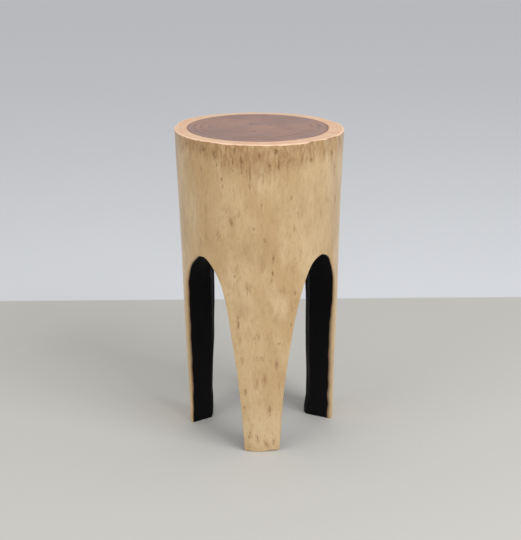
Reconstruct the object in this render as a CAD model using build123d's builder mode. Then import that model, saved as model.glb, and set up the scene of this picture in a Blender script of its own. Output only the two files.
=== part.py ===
from build123d import *
import os
from math import cos, radians, sin

# Drum table carved from one log. It stands on four legs that are left between four arches,
# is hollowed from below and closed by a solid top, and its cut faces are blackened.
# Millimetres, +Z up, origin on the floor at the log's axis, front leg towards -Y.
# A bearing is measured in degrees from the front leg and grows towards +X.

# Log
TABLE_HEIGHT = 500.0
FOOT_RADIUS = 121.0
CALF_HEIGHT = 100.0
CALF_RADIUS = 123.9
BELLY_HEIGHT = 300.0
BELLY_RADIUS = 127.0
NECK_HEIGHT = 430.0
NECK_RADIUS = 129.4
TOP_RADIUS = 132.0
RIM_EASE = 1.5
FOOT_EASE = 5.0

# Heartwood: the sapwood around it is this thick on average, and its centre leans with the pith
SAPWOOD = 21.0
HEART_CENTRE_AT_FOOT = (-1.0, 4.0)
HEART_CENTRE_AT_TOP = (-2.4, 10.0)

# Hollow, with a ceiling that is rounded into the wall
BORE_RADIUS = 83.0
BORE_CENTRE = (-2.0, 0.0)
CEILING_HEIGHT = 400.0
CEILING_ROUNDING = 15.0

# Arches, each cut straight in along its bearing, half widths measured near the log's skin.
# A side is an arc from the floor to the shoulder, and the pointed head two more arcs.
ARCH_CROWN_HEIGHT = 321.0
ARCH_CROWN_ROUNDING = 12.0
ARCH_HEAD_RISE = 67.0
ARCH_HEAD_BULGE = 10.2
ARCH_SHOULDER_HALF_WIDTH = 49.0
ARCH_SKIN_DISTANCE = 100.0
ARCH_SPLAY_ANGLE = 12.0
ARCH_OUTER_LENGTH = 45.0
# bearing, then the half width at the floor and the outward bulge of the side that lies towards
# smaller bearings, and of the side beyond the bearing
ARCHES = {
    "front_left": (-47.0, (68.0, 2.2), (66.0, 2.7)),
    "front_right": (47.5, (66.0, 2.7), (76.0, -1.2)),
    "back_right": (143.0, (52.0, 0.5), (52.0, 0.5)),
    "back_left": (-139.0, (58.0, 1.6), (60.0, 1.6)),
}

# Blackened skin on every cut face
BLACK_SKIN = 1.5
PALE_EDGE = 8.0
SKIN_ABOVE_FLOOR = 5.0

# Pin knots in the sapwood: bearing, height, radius
PIN_KNOTS = [
    (-4.1, 375.0, 1.6),
    (-17.7, 298.0, 1.4),
    (12.7, 188.0, 1.5),
    (96.0, 402.0, 1.6),
    (171.0, 344.0, 1.8),
    (-118.0, 431.0, 1.4),
]
KNOT_DEPTH = 6.0

# Filled checks in the table top: x, y, length, width, direction
CHECKS = [
    (-13.2, 27.0, 7.0, 1.8, 55.0),
    (-8.3, -33.2, 8.0, 1.4, 0.0),
]
CHECK_DEPTH = 3.0

# How far a cutter runs past the face that it opens
OVERRUN = 10.0

# Rings that set the log's side, from the floor up: height, radius
RINGS = [
    (0.0, FOOT_RADIUS),
    (CALF_HEIGHT, CALF_RADIUS),
    (BELLY_HEIGHT, BELLY_RADIUS),
    (NECK_HEIGHT, NECK_RADIUS),
    (TABLE_HEIGHT, TOP_RADIUS),
]


def skin_radius(height):
    """Radius of the log at a height, between two rings."""
    for (low, low_radius), (high, high_radius) in zip(RINGS, RINGS[1:]):
        if height <= high:
            return low_radius + (high_radius - low_radius) * (height - low) / (high - low)
    return TOP_RADIUS


def outward_plane(bearing, distance, height=0.0):
    """Upright plane that faces outward on a bearing, with its own Y axis pointing up."""
    turn = radians(bearing)
    return Plane(
        origin=(distance * sin(turn), -distance * cos(turn), height),
        x_dir=(cos(turn), sin(turn), 0),
        z_dir=(sin(turn), -cos(turn), 0),
    )


def arch_cutter(arch, margin):
    """Solid that opens one arch from the log's axis outward, wider by margin all round."""
    bearing, low_side, high_side = arch
    crown = (0, ARCH_CROWN_HEIGHT + margin)
    shoulder_height = ARCH_CROWN_HEIGHT - ARCH_HEAD_RISE
    with BuildPart() as cutter:
        with BuildSketch(outward_plane(bearing, ARCH_SKIN_DISTANCE)) as mouth:
            with BuildLine():
                below_floor = []
                for side, (half_width, bulge) in ((-1, low_side), (1, high_side)):
                    foot = (side * (half_width + margin), 0)
                    shoulder = (side * (ARCH_SHOULDER_HALF_WIDTH + margin), shoulder_height)
                    below_floor.append((foot[0], -OVERRUN))
                    Line(below_floor[-1], foot)
                    SagittaArc(foot, shoulder, sagitta=-side * bulge)
                    SagittaArc(shoulder, crown, sagitta=-side * ARCH_HEAD_BULGE)
                Line(*below_floor)
            make_face()
            fillet(mouth.vertices().sort_by(Axis.Y)[-1], radius=ARCH_CROWN_ROUNDING)
        extrude(amount=ARCH_OUTER_LENGTH, taper=-ARCH_SPLAY_ANGLE)
        extrude(mouth.sketch, amount=-ARCH_SKIN_DISTANCE, taper=ARCH_SPLAY_ANGLE)
    return cutter.part


def bore_cutter(margin):
    """Straight bore from below, wider by margin all round."""
    with BuildPart() as cutter:
        with BuildSketch(Plane.XY.offset(-OVERRUN)):
            with Locations(BORE_CENTRE):
                Circle(BORE_RADIUS + margin)
        extrude(amount=OVERRUN + CEILING_HEIGHT + margin)
        fillet(cutter.edges().sort_by(Axis.Z)[-1], radius=CEILING_ROUNDING + margin)
    return cutter.part


def log_solid(inset):
    """The uncarved log, or the same log with its side set in."""
    with BuildPart() as solid:
        with BuildSketch(Plane.XZ):
            with BuildLine():
                Polyline(
                    (0, TABLE_HEIGHT),
                    (0, 0),
                    *[(radius - inset, height) for height, radius in RINGS],
                    close=True,
                )
            make_face()
        revolve(axis=Axis.Z)
        if not inset:
            fillet(solid.edges().sort_by(Axis.Z)[-1], radius=RIM_EASE)
            fillet(solid.edges().sort_by(Axis.Z)[0], radius=FOOT_EASE)
    return solid.part


log = log_solid(0.0)
inner_log = log_solid(PALE_EDGE)
open_bore = bore_cutter(0.0)
wood_bore = bore_cutter(BLACK_SKIN)
open_arches = {name: arch_cutter(arch, 0.0) for name, arch in ARCHES.items()}
wood_arches = {name: arch_cutter(arch, BLACK_SKIN) for name, arch in ARCHES.items()}

# Zone of the heartwood: it follows the log's rings about a leaning pith, with nothing cut yet
pith_foot = Vector(*HEART_CENTRE_AT_FOOT, 0)
pith_lean = (Vector(*HEART_CENTRE_AT_TOP, TABLE_HEIGHT) - pith_foot).normalized()
pith_side = pith_lean.cross(Vector(0, 1, 0)).normalized()
with BuildPart() as heart_zone:
    with BuildSketch(Plane(pith_foot, x_dir=pith_side, z_dir=pith_side.cross(pith_lean))):
        with BuildLine():
            Polyline(
                (0, TABLE_HEIGHT + OVERRUN),
                (0, -OVERRUN),
                (FOOT_RADIUS - SAPWOOD, -OVERRUN),
                *[(radius - SAPWOOD, height) for height, radius in RINGS],
                (TOP_RADIUS - SAPWOOD, TABLE_HEIGHT + OVERRUN),
                close=True,
            )
        make_face()
    revolve(axis=Axis(pith_foot, pith_lean))
    split(bisect_by=Plane.XY, keep=Keep.TOP)
    split(bisect_by=Plane.XY.offset(TABLE_HEIGHT), keep=Keep.BOTTOM)

# Blackened skin of the bore and its dome, open at the arches
with BuildPart() as hollow_lining:
    add(wood_bore)
    add(open_bore, mode=Mode.SUBTRACT)
    for opening in open_arches.values():
        add(opening, mode=Mode.SUBTRACT)
    with BuildSketch(Plane.XY.offset(-2 * OVERRUN)):
        Circle(FOOT_RADIUS)
    extrude(amount=2 * OVERRUN + SKIN_ABOVE_FLOOR, mode=Mode.SUBTRACT)
hollow_lining.part.label = "hollow_lining"

# Blackened skin on each arch's cut face; it stops short of the pale outer edge
arch_linings = {}
for name in ARCHES:
    with BuildPart() as arch_lining:
        add(wood_arches[name])
        add(open_arches[name], mode=Mode.SUBTRACT)
        add(inner_log, mode=Mode.INTERSECT)
        add(wood_bore, mode=Mode.SUBTRACT)
        with BuildSketch(Plane.XY.offset(-2 * OVERRUN)):
            Circle(FOOT_RADIUS)
        extrude(amount=2 * OVERRUN + SKIN_ABOVE_FLOOR, mode=Mode.SUBTRACT)
    arch_lining.part.label = "arch_lining_" + name
    arch_linings[name] = arch_lining.part

# Pin knots, dressed flush with the skin
with BuildPart() as pin_knots:
    for bearing, height, radius in PIN_KNOTS:
        with BuildSketch(outward_plane(bearing, skin_radius(height) - KNOT_DEPTH, height)):
            Circle(radius)
        extrude(amount=KNOT_DEPTH + OVERRUN)
    add(log, mode=Mode.INTERSECT)
pin_knots.part.label = "pin_knots"

# Filled checks, dressed flush with the top
with BuildPart() as check_fillers:
    for x, y, length, width, direction in CHECKS:
        with BuildSketch(Plane.XY.offset(TABLE_HEIGHT)):
            with Locations((x, y)):
                SlotOverall(length, width, rotation=direction)
        extrude(amount=-CHECK_DEPTH)
check_fillers.part.label = "check_fillers"

# Pale sapwood: the outer wall of the log and the outer ring of the top
with BuildPart() as sapwood_shell:
    add(log)
    add(heart_zone.part, mode=Mode.SUBTRACT)
    add(wood_bore, mode=Mode.SUBTRACT)
    for opening in wood_arches.values():
        add(opening, mode=Mode.SUBTRACT)
    add(pin_knots.part, mode=Mode.SUBTRACT)
sapwood_shell.part.label = "sapwood_shell"

# Dark heartwood in two nodes: the disc over the hollow, and the inner side of wall and legs
ceiling_plane = Plane.XY.offset(CEILING_HEIGHT + BLACK_SKIN)
with BuildPart() as heartwood_top:
    add(heart_zone.part)
    split(bisect_by=ceiling_plane, keep=Keep.TOP)
    add(check_fillers.part, mode=Mode.SUBTRACT)
    add(pin_knots.part, mode=Mode.SUBTRACT)
heartwood_top.part.label = "heartwood_top"

with BuildPart() as heartwood_wall:
    add(heart_zone.part)
    split(bisect_by=ceiling_plane, keep=Keep.BOTTOM)
    add(wood_bore, mode=Mode.SUBTRACT)
    for opening in wood_arches.values():
        add(opening, mode=Mode.SUBTRACT)
    add(pin_knots.part, mode=Mode.SUBTRACT)
heartwood_wall.part.label = "heartwood_wall"

os.makedirs("parts", exist_ok=True)
export_step(sapwood_shell.part, "parts/sapwood_shell.step")
export_step(heartwood_top.part, "parts/heartwood_top.step")
export_step(heartwood_wall.part, "parts/heartwood_wall.step")
export_step(hollow_lining.part, "parts/hollow_lining.step")
for name, lining in arch_linings.items():
    export_step(lining, "parts/arch_lining_" + name + ".step")
export_step(pin_knots.part, "parts/pin_knots.step")
export_step(check_fillers.part, "parts/check_fillers.step")
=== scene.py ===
"""A round log table, hollowed from below and standing on four legs left between pointed arches.

The log keeps its natural round outside, its sawn top shows pale sapwood round dark heartwood,
and every carved face is stained black. All bearings are in degrees from the front leg (-Y)
towards +X, and all working sizes are in millimetres until a mesh is made.
"""

from math import asin, atan2, cos, degrees, hypot, pi, radians, sin, sqrt

import bmesh
import bpy
from bpy.props import FloatProperty, FloatVectorProperty, PointerProperty
from mathutils import Matrix, Vector, noise


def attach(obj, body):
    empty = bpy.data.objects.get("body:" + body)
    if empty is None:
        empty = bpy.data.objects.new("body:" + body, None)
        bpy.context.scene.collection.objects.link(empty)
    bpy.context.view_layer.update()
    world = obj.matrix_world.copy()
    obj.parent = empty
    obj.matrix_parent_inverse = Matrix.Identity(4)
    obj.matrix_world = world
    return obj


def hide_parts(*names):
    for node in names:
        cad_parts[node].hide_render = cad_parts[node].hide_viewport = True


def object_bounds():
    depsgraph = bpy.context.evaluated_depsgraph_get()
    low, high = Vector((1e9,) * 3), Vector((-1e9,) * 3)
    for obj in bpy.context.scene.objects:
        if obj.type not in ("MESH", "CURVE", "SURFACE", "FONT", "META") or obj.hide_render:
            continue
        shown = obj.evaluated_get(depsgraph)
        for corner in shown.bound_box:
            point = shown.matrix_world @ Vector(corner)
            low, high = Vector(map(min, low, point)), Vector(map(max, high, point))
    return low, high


bl_info = {
    "name": "Carved log table",
    "version": (1, 0, 0),
    "blender": (4, 5, 0),
    "location": "3D View > Sidebar > Log Table",
    "description": "Carves the wood, the black stain and the stage of a round log table",
    "category": "Add Mesh",
}

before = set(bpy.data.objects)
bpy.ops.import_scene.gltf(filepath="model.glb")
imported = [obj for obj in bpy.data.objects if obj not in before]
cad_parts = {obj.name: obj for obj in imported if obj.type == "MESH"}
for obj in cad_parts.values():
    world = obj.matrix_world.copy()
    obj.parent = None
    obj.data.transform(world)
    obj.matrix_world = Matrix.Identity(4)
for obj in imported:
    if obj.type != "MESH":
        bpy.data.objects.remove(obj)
CAD_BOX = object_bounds()
BODY = "root"
MM = 0.001

TABLE_HEIGHT = (CAD_BOX[1].z - CAD_BOX[0].z) / MM

# Radius of the log's side at each height from the floor, and how far its bark side swells in and out
LOG_RADII = [(0, 120.3), (50, 121.2), (100, 122.7), (200, 125.3), (300, 126.4), (400, 128.5), (450, 130.4),
             (500, 131.6)]
SIDE_WAVES = 0.8

# Hollow: radius and centre of the bore, its ceiling, and the rounding under the ceiling
BORE_RADIUS = 83.0
BORE_CENTRE = (-2.0, 0.0)
CEILING_HEIGHT = 400.0
CEILING_ROUNDING = 15.0

# The sawn top lies a little out of level: how far its middle stands over the table's height, its fall
# per millimetre towards +X, and the height from which the wood follows it
TOP_LIFT = 1.2
TOP_FALL = 0.0115
TOP_FOLLOWS = 430.0

# Heartwood: its pith, its centre and its radius on the sawn top, and how far its centre moves and its
# radius shrinks for each millimetre below the top
PITH = (-13.2, 27.0)
HEART_CENTRE = (-2.6, 3.4)
HEART_RADIUS = 111.2
HEART_LEAN = (0.002, 0.001)
HEART_TAPER = 0.022

# Where the gouge left more wood in the bore, or less: bearing, height, half width in degrees,
# half height and amount
BORE_SWELLS = [
    (-103.0, 195.0, 50.0, 150.0, 5.8), (-103.0, 25.0, 50.0, 32.0, 1.6), (109.0, 200.0, 45.0, 170.0, 2.2),
    (109.0, 0.0, 45.0, 38.0, 4.4), (109.0, 80.0, 40.0, 45.0, -1.0), (10.0, 150.0, 40.0, 90.0, 1.5),
    (178.0, 260.0, 40.0, 120.0, 1.6), (178.0, 40.0, 40.0, 60.0, -1.2), (60.0, 340.0, 50.0, 60.0, 1.2),
]

# Black stain is a skin of this thickness on the carved faces
STAIN_SKIN = 1.3

# How far the crown of an arch comes down for each millimetre in towards the middle of the log
CROWN_DROP = 0.2

# Radius of the log at which the arches' half widths are measured, how far outside it a carved face
# still follows, and about the length of the face from the floor to the crown
ARCH_RADIUS = 124.0
PAST_ARCH_RADIUS = 8.0
ARCH_LENGTH = 330.0

# Rounding of the corner where a carved face meets the bore
BORE_CORNER = 2.5

# Feet: distance from the log's axis to the middle of a foot, and how near to that middle the easing
# of the edge fades out
FOOT_MIDDLE = 101.0
FOOT_EASE_FADES = 12.0

# Corners of the feet that are worn rounder than the rest: bearing, half width and depth
FOOT_WEAR = [(9.0, 8.0, 4.8), (-10.0, 4.0, 2.0), (82.0, 6.0, 1.6), (-97.0, 6.0, 1.4), (172.0, 6.0, 1.8)]
DEEPEST_WEAR = max(depth for _, _, depth in FOOT_WEAR)


def head_of_arch(reach):
    """Points of half an arch's head, as half width and height; reach widens its shoulder."""
    return [(50.5 + reach, 229), (44.5 + reach, 267), (29.5 + reach / 2, 297), (14.5, 313)]


# One arch per gap between two legs: its bearing and crown height, then each side from the floor up
# as half width and height, the share of that width left where the face meets the bore, and the
# width of the pale eased edge on the bark side and on the carved side at floor, middle and crown
LEG_EDGE = {"bark": (1.8, 1.5, 1.0), "cut": (3.0, 2.2, 1.4)}
ARCHES = [
    {"name": "front_left", "bearing": -47.0, "crown": 319.2,
     "low": {"line": [(67.8, 0), (63.9, 100), (53.2, 200), *head_of_arch(0.4)[:-1],
                      (14.5, 311.3), (5.0, 318.2)],
             "share": 0.87, "bark": (4.5, 3.5, 1.2), "cut": (4.5, 7.2, 4.0)},
     "high": {"line": [(66.8, 0), (62.6, 100), (53.2, 200), (46.2, 252), (35.2, 290),
                       (19.5, 313.3), (8.0, 319.7)],
              "share": 0.86, **LEG_EDGE}},
    {"name": "front_right", "bearing": 47.5, "crown": 319.7,
     "low": {"line": [(67.0, 0), (62.6, 100), (51.4, 200), (41.5, 252), (29.3, 290), (16.2, 312)],
             "share": 0.86, **LEG_EDGE},
     "high": {"line": [(76.5, 0), (62.9, 100), (52.2, 200), *head_of_arch(0.0)[:2],
                       (31.3, 296.5), (23.2, 309.8), (12.0, 317.2)],
              "share": 0.82, "bark": (5.0, 3.5, 1.2), "cut": (9.0, 8.8, 2.4)}},
    {"name": "back_right", "bearing": 143.0, "crown": 321,
     "low": {"line": [(52.0, 0), (51.8, 130), *head_of_arch(0.0)], "share": 0.86,
             "bark": (4.0, 3.0, 1.2), "cut": (6.0, 6.0, 2.0)},
     "high": {"line": [(52.0, 0), (51.8, 130), *head_of_arch(0.0)], "share": 0.86,
              "bark": (3.0, 2.2, 1.2), "cut": (4.0, 3.0, 2.0)}},
    {"name": "back_left", "bearing": 221.0, "crown": 322,
     "low": {"line": [(58.0, 0), (56.5, 130), *head_of_arch(0.0)], "share": 0.86,
             "bark": (3.0, 2.2, 1.2), "cut": (4.0, 3.0, 2.0)},
     "high": {"line": [(60.0, 0), (57.5, 130), *head_of_arch(0.0)], "share": 0.86,
              "bark": (4.0, 3.0, 1.2), "cut": (6.0, 6.0, 2.0)}},
]

# Mesh fineness: rows up an arch and how much they gather towards its crown, heights of the rows
# under them for the rounding of the foot, and rows above the arch and how they gather at the rim
ARCH_ROWS = 120
ROWS_GATHER = 1.35
FOOT_ROWS = [0.0, 0.7, 1.7, 3.0, 4.6]
UPPER_ROWS = 84
UPPER_GATHER = 1.25

# Columns across a leg's bark side, its heartwood (half as many, so that the two meet on the top),
# its bore, a black face and the pale eased edge beside it, the bare wood under the black face in the
# sapwood and in the heartwood, and steps of the corner where the face meets the bore
LEG_COLUMNS = 120
HEART_COLUMNS = LEG_COLUMNS // 2
BORE_COLUMNS = 28
FACE_COLUMNS = 10
EDGE_COLUMNS = 5
HIDDEN_SAPWOOD_COLUMNS = 4
HIDDEN_HEARTWOOD_COLUMNS = 3
CORNER_STEPS = 3

# How browned the eased edge is at each of its columns, from the black face to the bark side
SCORCH = (1.0, 0.45, 0.12, 0.0, 0.0, 0.0)

# Rows of the heartwood above the arches and how they gather where its bore rounds in, rows of the
# stained bore there, rings over the disc of the top and rows down its side, rings over the ceiling of
# the hollow and steps round its edge
INNER_ROWS = 10
BORE_GATHER = 1.6
BORE_ROWS = 14
DISC_RINGS = 24
DISC_ROWS = 4
CEILING_RINGS = 10
CEILING_STEPS = 5


def linear_colour(text):
    """Scene-linear red, green and blue of an sRGB hex colour."""
    channels = [int(text[i:i + 2], 16) / 255 for i in (1, 3, 5)]
    return tuple(c / 12.92 if c <= 0.04045 else ((c + 0.055) / 1.055) ** 2.4 for c in channels)


def colour_setting(name, description, text):
    """A colour that the user can change, from its sRGB hex value."""
    return FloatVectorProperty(name=name, description=description, subtype="COLOR", size=3, min=0, max=1,
                               default=linear_colour(text))


def length_setting(name, description, millimetres):
    """A length that the user can change."""
    return FloatProperty(name=name, description=description, unit="LENGTH", min=0, default=millimetres * MM)


class LogTableSizes(bpy.types.PropertyGroup):
    """Sizes of the hand work, which the frame leaves open."""

    side_waves: length_setting("Side waves", "How far the log's side swells in and out", SIDE_WAVES)
    cut_waves: length_setting("Tool waves", "How far the carved faces swell in and out", 0.5)
    # the pale of the sanded rim edge is a painted highlight
    rim_ease: length_setting("Rim easing", "Width of the pale sanded edge round the top", 1.3)
    foot_ease: length_setting("Foot easing", "Rounding of the feet at the floor", 1.2)


class LogTableColours(bpy.types.PropertyGroup):
    """Colours of the bare and the stained wood."""

    sapwood: colour_setting("Sapwood", "Oiled bark side of the log", "#C3A77C")
    sapwood_shade: colour_setting("Sapwood shade", "Its deeper bands", "#B8986C")
    sapwood_light: colour_setting("Sapwood light", "Its paler bands", "#CBB28A")
    bark_brown: colour_setting("Inner bark", "Brown tinge of the inner bark", "#9D7D54")
    rim_brown: colour_setting("Rim brown", "Brown band under the rim", "#90673B")
    fibre: colour_setting("Bark strand", "Strands of bark left in the sapwood", "#70481E")
    blush: colour_setting("Blush", "Reddish patches of the inner bark", "#946A42")
    scorch: colour_setting("Scorch", "Browned line beside the charred faces", "#5A3A24")
    end_sapwood: colour_setting("Sapwood end grain", "Sanded ring of the top", "#E1BD9E")
    end_heartwood: colour_setting("Heartwood end grain", "Sanded disc of the top", "#937267")
    heartwood_line: colour_setting("Growth lines", "Darker rings of the heartwood", "#78584D")
    heartwood_grey: colour_setting("Grey growth", "Greyer growth rings of the heartwood", "#907770")
    heartwood_rose: colour_setting("Rose growth", "Pinker growth rings of the heartwood", "#AC8070")
    stain: colour_setting("Black stain", "Charred and stained faces", "#09080A")
    knot: colour_setting("Pin knot", "Small knots of the bark side", "#7A5836")
    filler: colour_setting("Check filler", "Filled checks of the top", "#36261F")
    floor: colour_setting("Floor", "Plain matt floor", "#C2C1BD")
    wall: colour_setting("Wall", "Cooler tone of the floor far behind the table", "#D9DCE1")


# ---------------------------------------------------------------------------------------------
# The log
# ---------------------------------------------------------------------------------------------

def ease(x, low, high):
    """Smooth step from 0 at low to 1 at high."""
    t = min(max((x - low) / (high - low), 0.0), 1.0)
    return t * t * (3 - 2 * t)


def mix(a, b, t):
    """Value at a share t of the way from a to b."""
    return a + (b - a) * t


def along(table, x):
    """Value at x on straight lines between the (x, value) pairs of a table."""
    if x <= table[0][0]:
        return table[0][1]
    for (x0, y0), (x1, y1) in zip(table, table[1:]):
        if x <= x1:
            return y0 + (y1 - y0) * (x - x0) / (x1 - x0)
    return table[-1][1]


def swell(x, y, z, size, seed):
    """Smooth irregular wave of about -1 to 1, in bumps about size millimetres wide; a seed shifts it."""
    return noise.noise(Vector((x / size + seed, y / size - seed, z / size + 2 * seed)))


def on_bearing(bearing, radius, height):
    """Point at a bearing, a distance from the log's axis and a height."""
    turn = radians(bearing)
    return Vector((radius * sin(turn), -radius * cos(turn), height))


def with_top(point):
    """Raises a point near the sawn top by what the top lies out of level there."""
    share = min(max((point.z - TOP_FOLLOWS) / (TABLE_HEIGHT - TOP_FOLLOWS), 0.0), 1.0)
    return Vector((point.x, point.y, point.z + share * (TOP_LIFT - TOP_FALL * point.x)))


def bearing_gap(a, b):
    """Signed difference of two bearings, from -180 to 180."""
    return (a - b + 180) % 360 - 180


# Flat places where the bark side falls away just under the rim: bearing, half width in degrees, depth
# and height
RIM_FLATS = [
    (35.6, 3.2, 2.6, 18.0), (41.0, 7.6, 3.2, 28.0), (55.5, 8.5, 2.8, 34.0), (-33.0, 8.0, 1.2, 22.0),
    (-42.9, 1.6, 1.4, 7.0), (-16.3, 1.4, 1.2, 6.0), (10.0, 2.0, 0.7, 6.0), (118.0, 12.0, 2.0, 30.0),
    (-100.0, 9.0, 1.2, 24.0), (176.0, 10.0, 2.2, 32.0),
]

# Where the trunk bulges out under the top instead, in the same order of values
RIM_BULGE = (-124.0, 40.0, 5.0, 170.0)


def bark_radius(bearing, height, sizes):
    """Radius of the log's bark side, with its slow swells and the tool's shallow facets."""
    turn = radians(bearing)
    x, y = 100 * sin(turn), -100 * cos(turn)
    radius = along(LOG_RADII, height)
    # slow swells about 70 mm wide, shallow hollows of 22 mm, and the tool's facets of 7 mm
    wave = sizes.side_waves / MM
    radius += wave * 1.1 * swell(x, y, height * 0.5, 70, 3.1)
    radius += wave * 0.35 * swell(x, y, height * 0.22, 22, 7.7)
    radius += wave * 0.12 * swell(x, y, height * 0.16, 7, 1.3)
    for centre, half_width, depth, reach in RIM_FLATS:
        across = abs(bearing_gap(bearing, centre)) / half_width
        radius -= depth * (1 - ease(across, 0.35, 1.0)) * (1 - ease(TABLE_HEIGHT - height, 0.0, reach))
    centre, half_width, amount, reach = RIM_BULGE
    across = abs(bearing_gap(bearing, centre)) / half_width
    return radius + amount * (1 - ease(across, 0.0, 1.0)) * (1 - ease(TABLE_HEIGHT - height, 0.0, reach))


def bore_radius(bearing, height):
    """Distance from the log's axis to the bore, with the marks of the gouge."""
    turn = radians(bearing)
    toward = BORE_CENTRE[0] * sin(turn) - BORE_CENTRE[1] * cos(turn)
    off = BORE_CENTRE[0] * cos(turn) + BORE_CENTRE[1] * sin(turn)
    radius = toward + sqrt(BORE_RADIUS ** 2 - off ** 2)
    for centre, level, half_width, reach, amount in BORE_SWELLS:
        across = abs(bearing_gap(bearing, centre)) / half_width
        radius -= amount * (1 - ease(across, 0.2, 1.0)) * (1 - ease(abs(height - level) / reach, 0.2, 1.0))
    return radius + 0.6 * swell(80 * sin(turn), 80 * cos(turn), height * 0.35, 16, 5.0)


def heart_radius(bearing, height):
    """Distance from the log's axis to the border of sapwood and heartwood."""
    turn = radians(bearing)
    below = TABLE_HEIGHT - height
    cx = HEART_CENTRE[0] + HEART_LEAN[0] * below
    cy = HEART_CENTRE[1] + HEART_LEAN[1] * below
    toward = cx * sin(turn) - cy * cos(turn)
    off = cx * cos(turn) + cy * sin(turn)
    radius = HEART_RADIUS - HEART_TAPER * below
    x, y = 90 * sin(turn), 90 * cos(turn)
    wavy = 1.4 * swell(x, y, 0, 55, 9.0) + 0.5 * swell(x, y, 0, 14, 4.0)
    return toward + sqrt(radius ** 2 - off ** 2) + wavy


class ArchSide:
    """One side of an arch, from the floor to the crown, sampled from a smooth curve."""

    SAMPLES = 40

    def __init__(self, arch, side):
        self.sign = -1 if side == "low" else 1
        self.share = arch[side]["share"]
        self.widths = arch[side]
        self.seed = arch["bearing"] * 0.37 + self.sign
        other = "high" if side == "low" else "low"
        own = arch[side]["line"]
        points = [(own[0][0] * 2 - own[1][0], -own[1][1]), *own, (0, arch["crown"])]
        w, z = arch[other]["line"][-1]
        points += [(-w, z)]
        self.line = []
        for p0, p1, p2, p3 in zip(points, points[1:], points[2:], points[3:]):
            self.line += [self.between(p0, p1, p2, p3, i / self.SAMPLES) for i in range(self.SAMPLES)]
        self.line.append((0.0, float(arch["crown"])))
        self.run = [0.0]
        for a, b in zip(self.line, self.line[1:]):
            self.run.append(self.run[-1] + hypot(b[0] - a[0], b[1] - a[1]))

    @staticmethod
    def between(p0, p1, p2, p3, t):
        """Centripetal Catmull-Rom point between p1 and p2."""
        knots = [0.0]
        for a, b in ((p0, p1), (p1, p2), (p2, p3)):
            knots.append(knots[-1] + sqrt(hypot(b[0] - a[0], b[1] - a[1])))
        t = mix(knots[1], knots[2], t)
        values = [p0, p1, p2, p3]
        for level in (1, 2, 3):
            step = []
            for i in range(4 - level):
                low, high = (knots[i], knots[i + level]) if level < 3 else (knots[1], knots[2])
                share = (t - low) / (high - low)
                step.append(tuple(mix(a, b, share) for a, b in zip(values[i], values[i + 1])))
            values = step
        return values[0]

    def at(self, fraction):
        """Half width, height and the direction into the wood at a fraction of the way up."""
        if fraction >= 1:
            return 0.0, self.line[-1][1], 0.0, 1.0
        target = fraction * self.run[-1]
        low, high = 0, len(self.run) - 1
        while high - low > 1:
            middle = (low + high) // 2
            low, high = (middle, high) if self.run[middle] <= target else (low, middle)
        t = (target - self.run[low]) / (self.run[high] - self.run[low])
        w, z = (mix(a, b, t) for a, b in zip(self.line[low], self.line[high]))
        ahead = self.line[min(high + 2, len(self.line) - 1)]
        behind = self.line[max(low - 2, 0)]
        dw, dz = ahead[0] - behind[0], ahead[1] - behind[1]
        length = hypot(dw, dz)
        nw, nz = dz / length, -dw / length
        settle = ease(fraction, 0.97, 1.0)
        nw, nz = mix(nw, 0.0, settle), mix(nz, 1.0, settle)
        length = hypot(nw, nz)
        return w, z, nw / length, nz / length

    def eased(self, fraction, face):
        """Uneven width of the eased edge, on the bark or the cut face, at a fraction of the way up."""
        floor, middle, crown = self.widths[face]
        if fraction < 0.3:
            width = mix(floor, middle, ease(fraction, 0.0, 0.3))
        else:
            width = mix(middle, crown, ease(fraction, 0.45, 0.9))
        uneven = swell(fraction * ARCH_LENGTH, self.seed * 9, 0, 19, 2.0) * (1 - ease(fraction, 0.9, 1.0))
        return width * (1 + 0.16 * uneven)


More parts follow.
